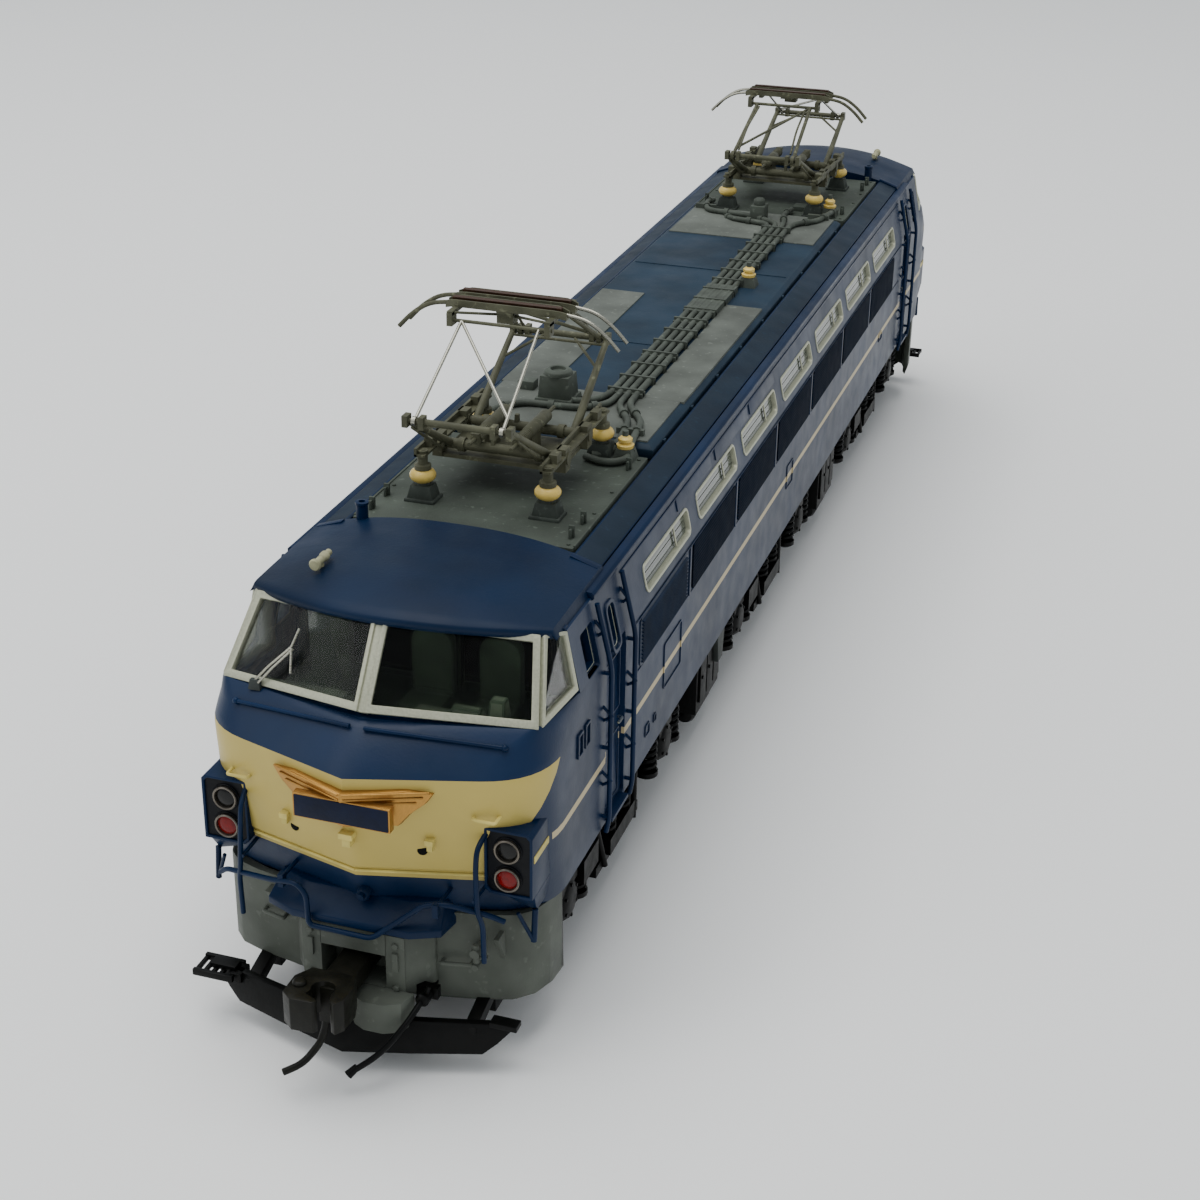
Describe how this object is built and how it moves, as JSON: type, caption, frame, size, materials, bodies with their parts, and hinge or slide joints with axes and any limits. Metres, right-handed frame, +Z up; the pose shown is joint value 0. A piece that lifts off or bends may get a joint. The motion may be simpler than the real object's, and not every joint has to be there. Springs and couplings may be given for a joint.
{
  "type": "model electric locomotive",
  "caption": "Working scale model of a three-bogie electric locomotive with folding pantographs, swivelling bogies, geared axles and knuckle couplers.",
  "frame": {"origin": "under the middle of the locomotive, at the bottom of the wheel flanges; the rail head is 1 mm above it", "axes": "+Y towards the rear end, +X to the right of the front end when looking along +Y, +Z up"},
  "size_m": [0.0374, 0.233, 0.0635],
  "materials": {
    "body_blue": "satin",
    "deck_grey": "matte",
    "hatch_blue": "matte",
    "skirt_grey": "matte",
    "silver_trim": "satin",
    "clear": "clear",
    "gold_trim": "satin",
    "plate_blue": "gloss",
    "lamp_lens": "gloss",
    "tail_lens": "gloss",
    "whistle_cream": "satin",
    "cab_green": "matte",
    "die_cast": "matte",
    "motor_can": "satin",
    "flywheel_brass": "turned",
    "board_green": "satin",
    "drive_plastic": "matte",
    "running_black": "matte",
    "wheel_steel": "blackened",
    "coupler_brown": "satin",
    "panto_grey": "matte",
    "bright_wire": "bright",
    "insulator_cream": "gloss"
  },
  "bodies": {
    "root": {"body_shell": "body_blue", "brake_hoses": "running_black", "cab_interiors": "cab_green", "chassis": "die_cast", "chassis_screws": "motor_can", "door_handrails": "body_blue", "end_handrails": "body_blue", "headlight_lenses": "lamp_lens", "lamp_housings": "body_blue", "light_board": "board_green", "motor": "motor_can", "nose_trims": "gold_trim", "number_plates": "plate_blue", "panto_bases": "panto_grey", "panto_insulators": "insulator_cream", "roof_arrester": "deck_grey", "roof_conduit": "deck_grey", "roof_decks": "deck_grey", "roof_hatch": "hatch_blue", "side_glazing": "clear", "side_window_frames": "silver_trim", "skirts": "skirt_grey", "tail_lenses": "tail_lens", "underfloor_boxes": "running_black", "whistles": "whistle_cream", "windshield_frames": "silver_trim", "windshield_glass": "clear", "wipers": "silver_trim"},
    "front_bogie": {"front_bogie_frame": "running_black", "front_gearbox": "running_black", "front_plow": "running_black"},
    "rear_bogie": {"rear_bogie_frame": "running_black", "rear_gearbox": "running_black", "rear_plow": "running_black"},
    "mid_slide": {"mid_slider": "running_black"},
    "mid_bogie": {"mid_bogie_frame": "running_black"},
    "rotor": {"motor_shaft": "motor_can", "flywheels": "flywheel_brass"},
    "front_drive": {"front_cardan": "drive_plastic"},
    "rear_drive": {"rear_cardan": "drive_plastic"},
    "front_worm": {"front_worm_shaft": "drive_plastic"},
    "rear_worm": {"rear_worm_shaft": "drive_plastic"},
    "front_hook": {"front_coupler": "coupler_brown"},
    "rear_hook": {"rear_coupler": "coupler_brown"},
    "axle_1": {"wheelset_1": "wheel_steel"},
    "axle_2": {"wheelset_2": "wheel_steel"},
    "axle_3": {"wheelset_3": "wheel_steel"},
    "axle_4": {"wheelset_4": "wheel_steel"},
    "axle_5": {"wheelset_5": "wheel_steel"},
    "axle_6": {"wheelset_6": "wheel_steel"},
    "front_lower_outer": {"front_panto_lower_outer": "panto_grey"},
    "front_lower_inner": {"front_panto_lower_inner": "panto_grey"},
    "front_upper_outer": {"front_panto_upper_outer": "bright_wire"},
    "front_upper_inner": {"front_panto_upper_inner": "panto_grey"},
    "front_head": {"front_panto_head": "panto_grey"},
    "rear_lower_outer": {"rear_panto_lower_outer": "panto_grey"},
    "rear_lower_inner": {"rear_panto_lower_inner": "panto_grey"},
    "rear_upper_outer": {"rear_panto_upper_outer": "bright_wire"},
    "rear_upper_inner": {"rear_panto_upper_inner": "panto_grey"},
    "rear_head": {"rear_panto_head": "panto_grey"}
  },
  "joints": [
    {"name": "motor_spin", "type": "hinge", "parent": "root", "child": "rotor", "pos_m": [0, 0, 0.0232], "axis": [0, 1, 0], "continuous": true},
    {"name": "front_bogie_swivel", "type": "hinge", "parent": "root", "child": "front_bogie", "pos_m": [0, -0.0695, 0.0195], "axis": [0, 0, 1], "range_deg": [-5, 5]},
    {"name": "front_cardan_spin", "type": "hinge", "parent": "root", "child": "front_drive", "pos_m": [0, -0.0236, 0.0232], "axis": [0, 0.9367, 0.35], "continuous": true},
    {"name": "front_worm_spin", "type": "hinge", "parent": "front_bogie", "child": "front_worm", "pos_m": [0, -0.0695, 0.0161], "axis": [0, 1, 0], "continuous": true},
    {"name": "front_coupler_swing", "type": "hinge", "parent": "root", "child": "front_hook", "pos_m": [0, -0.098, 0.0102], "axis": [0, 0, 1], "range_deg": [-8, 8], "stiffness_Nm_per_rad": 0.0005},
    {"name": "front_pantograph_raise", "type": "hinge", "parent": "root", "child": "front_lower_outer", "pos_m": [0, -0.0665, 0.048], "axis": [-1, 0, 0], "range_deg": [-24, 36]},
    {"name": "front_lower_inner_turn", "type": "hinge", "parent": "root", "child": "front_lower_inner", "pos_m": [0, -0.0593, 0.048], "axis": [-1, 0, 0], "range_deg": [-36, 24]},
    {"name": "front_knee_outer_turn", "type": "hinge", "parent": "front_lower_outer", "child": "front_upper_outer", "pos_m": [0, -0.0784, 0.05479], "axis": [-1, 0, 0], "range_deg": [-72, 48]},
    {"name": "front_knee_inner_turn", "type": "hinge", "parent": "front_lower_inner", "child": "front_upper_inner", "pos_m": [0, -0.0474, 0.05479], "axis": [-1, 0, 0], "range_deg": [-48, 72]},
    {"name": "front_head_turn", "type": "hinge", "parent": "front_upper_outer", "child": "front_head", "pos_m": [0, -0.0665, 0.06158], "axis": [-1, 0, 0], "range_deg": [-24, 36]},
    {"name": "rear_bogie_swivel", "type": "hinge", "parent": "root", "child": "rear_bogie", "pos_m": [0, 0.0695, 0.0195], "axis": [0, 0, 1], "range_deg": [-5, 5]},
    {"name": "rear_cardan_spin", "type": "hinge", "parent": "root", "child": "rear_drive", "pos_m": [0, 0.0236, 0.0232], "axis": [0, 0.9367, -0.35], "continuous": true},
    {"name": "rear_worm_spin", "type": "hinge", "parent": "rear_bogie", "child": "rear_worm", "pos_m": [0, 0.0695, 0.0161], "axis": [0, 1, 0], "continuous": true},
    {"name": "rear_coupler_swing", "type": "hinge", "parent": "root", "child": "rear_hook", "pos_m": [0, 0.098, 0.0102], "axis": [0, 0, 1], "range_deg": [-8, 8], "stiffness_Nm_per_rad": 0.0005},
    {"name": "rear_pantograph_raise", "type": "hinge", "parent": "root", "child": "rear_lower_outer", "pos_m": [0, 0.0665, 0.048], "axis": [1, 0, 0], "range_deg": [-17, 43]},
    {"name": "rear_lower_inner_turn", "type": "hinge", "parent": "root", "child": "rear_lower_inner", "pos_m": [0, 0.0593, 0.048], "axis": [1, 0, 0], "range_deg": [-43, 17]},
    {"name": "rear_knee_outer_turn", "type": "hinge", "parent": "rear_lower_outer", "child": "rear_upper_outer", "pos_m": [0, 0.07914, 0.05329], "axis": [1, 0, 0], "range_deg": [-86, 34]},
    {"name": "rear_knee_inner_turn", "type": "hinge", "parent": "rear_lower_inner", "child": "rear_upper_inner", "pos_m": [0, 0.04666, 0.05329], "axis": [1, 0, 0], "range_deg": [-34, 86]},
    {"name": "rear_head_turn", "type": "hinge", "parent": "rear_upper_outer", "child": "rear_head", "pos_m": [0, 0.0665, 0.05857], "axis": [1, 0, 0], "range_deg": [-17, 43]},
    {"name": "mid_bogie_slide", "type": "slide", "parent": "root", "child": "mid_slide", "axis": [1, 0, 0], "range_m": [-0.0025, 0.0025]},
    {"name": "mid_bogie_swivel", "type": "hinge", "parent": "mid_slide", "child": "mid_bogie", "pos_m": [0, 0, 0.012], "axis": [0, 0, 1], "range_deg": [-3, 3]},
    {"name": "axle_1_spin", "type": "hinge", "parent": "front_bogie", "child": "axle_1", "pos_m": [0, -0.087, 0.008], "axis": [1, 0, 0], "continuous": true},
    {"name": "axle_2_spin", "type": "hinge", "parent": "front_bogie", "child": "axle_2", "pos_m": [0, -0.052, 0.008], "axis": [1, 0, 0], "continuous": true},
    {"name": "axle_3_spin", "type": "hinge", "parent": "mid_bogie", "child": "axle_3", "pos_m": [0, -0.0175, 0.008], "axis": [1, 0, 0], "continuous": true},
    {"name": "axle_4_spin", "type": "hinge", "parent": "mid_bogie", "child": "axle_4", "pos_m": [0, 0.0175, 0.008], "axis": [1, 0, 0], "continuous": true},
    {"name": "axle_5_spin", "type": "hinge", "parent": "rear_bogie", "child": "axle_5", "pos_m": [0, 0.052, 0.008], "axis": [1, 0, 0], "continuous": true},
    {"name": "axle_6_spin", "type": "hinge", "parent": "rear_bogie", "child": "axle_6", "pos_m": [0, 0.087, 0.008], "axis": [1, 0, 0], "continuous": true}
  ],
  "couplings": [
    {"joint": "front_cardan_spin", "follows": "motor_spin", "ratio": 1},
    {"joint": "front_worm_spin", "follows": "motor_spin", "ratio": 1},
    {"joint": "front_lower_inner_turn", "follows": "front_pantograph_raise", "ratio": -1},
    {"joint": "front_knee_outer_turn", "follows": "front_pantograph_raise", "ratio": -2},
    {"joint": "front_knee_inner_turn", "follows": "front_pantograph_raise", "ratio": 2},
    {"joint": "front_head_turn", "follows": "front_pantograph_raise", "ratio": 1},
    {"joint": "rear_cardan_spin", "follows": "motor_spin", "ratio": 1},
    {"joint": "rear_worm_spin", "follows": "motor_spin", "ratio": 1},
    {"joint": "rear_lower_inner_turn", "follows": "rear_pantograph_raise", "ratio": -1},
    {"joint": "rear_knee_outer_turn", "follows": "rear_pantograph_raise", "ratio": -2},
    {"joint": "rear_knee_inner_turn", "follows": "rear_pantograph_raise", "ratio": 2},
    {"joint": "rear_head_turn", "follows": "rear_pantograph_raise", "ratio": 1},
    {"joint": "axle_1_spin", "follows": "motor_spin", "ratio": 0.071429},
    {"joint": "axle_2_spin", "follows": "motor_spin", "ratio": 0.071429},
    {"joint": "axle_5_spin", "follows": "motor_spin", "ratio": 0.071429},
    {"joint": "axle_6_spin", "follows": "motor_spin", "ratio": 0.071429}
  ]
}
